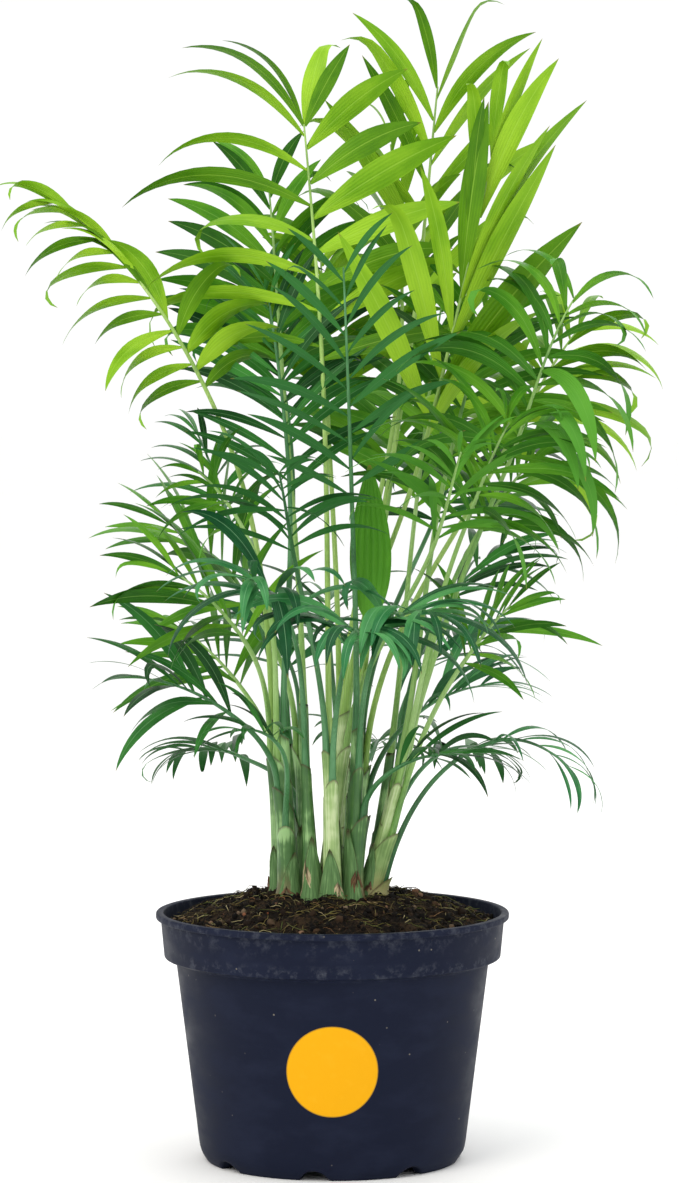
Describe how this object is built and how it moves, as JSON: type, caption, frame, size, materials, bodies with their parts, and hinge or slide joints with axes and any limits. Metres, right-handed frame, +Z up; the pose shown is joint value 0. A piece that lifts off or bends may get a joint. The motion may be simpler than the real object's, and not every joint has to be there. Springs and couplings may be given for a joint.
{
  "type": "parlour palm",
  "caption": "Parlour palm in a nursery pot: a clump of sheathed stems with upright and arching feather fronds above a mound of potting mix.",
  "frame": {"origin": "middle of the pot's flat underside", "axes": "+Z up along the plant; -Y is the side that faces the camera in the picture; +X to its right"},
  "size_m": [0.4378, 0.4203, 0.7901],
  "materials": {
    "pot_plastic": "satin",
    "potting_mix": "matte",
    "stem_sheath": "satin",
    "leaf_young": "satin",
    "leaf_mid": "satin",
    "leaf_deep": "satin",
    "leaf_blue": "satin"
  },
  "bodies": {
    "root": {"pot": "pot_plastic", "soil": "potting_mix", "stem_far_left": "stem_sheath", "stem_dark_left": "stem_sheath", "stem_left": "stem_sheath", "stem_front": "stem_sheath", "stem_pale": "stem_sheath", "stem_front_right": "stem_sheath", "stem_right": "stem_sheath", "stem_middle": "stem_sheath", "stem_back_left": "stem_sheath", "stem_rear_left": "stem_sheath", "stem_rear": "stem_sheath", "stem_rear_right": "stem_sheath", "frond_left_arch": "leaf_young", "frond_crown_left": "leaf_young", "frond_crown_back": "leaf_young", "frond_crown_right": "leaf_young", "frond_right_arch": "leaf_mid", "frond_dark_left": "leaf_deep", "frond_centre_blue": "leaf_blue", "frond_crown_mid": "leaf_young", "frond_left_back": "leaf_deep", "frond_centre_back": "leaf_mid", "frond_right_mid": "leaf_mid", "frond_right_back": "leaf_young", "frond_low_left_up": "leaf_mid", "frond_low_left_top": "leaf_mid", "frond_low_left": "leaf_deep", "frond_lowest_left": "leaf_deep", "frond_left_pale": "leaf_mid", "frond_front_left": "leaf_blue", "frond_front_mid": "leaf_blue", "frond_front_right": "leaf_blue", "frond_right_low_up": "leaf_mid", "frond_right_low": "leaf_blue", "frond_lowest_right": "leaf_deep", "frond_thin_right": "leaf_blue", "frond_right_mid_low": "leaf_deep", "frond_mid_front": "leaf_deep", "frond_mid_front_right": "leaf_mid", "frond_rear_top": "leaf_mid", "frond_rear_mid": "leaf_mid", "frond_rear_mid_left": "leaf_deep", "frond_rear_mid_right": "leaf_deep", "frond_rear_low": "leaf_deep", "frond_rear_low_left": "leaf_blue", "frond_rear_low_right": "leaf_blue", "frond_rear_lowest": "leaf_deep", "frond_rear_lowest_right": "leaf_deep", "frond_rear_lowest_left": "leaf_deep", "frond_mid_left": "leaf_mid", "frond_right_upper": "leaf_mid", "frond_right_inner": "leaf_mid", "frond_back_upper": "leaf_young", "frond_spear": "leaf_young"}
  },
  "joints": []
}
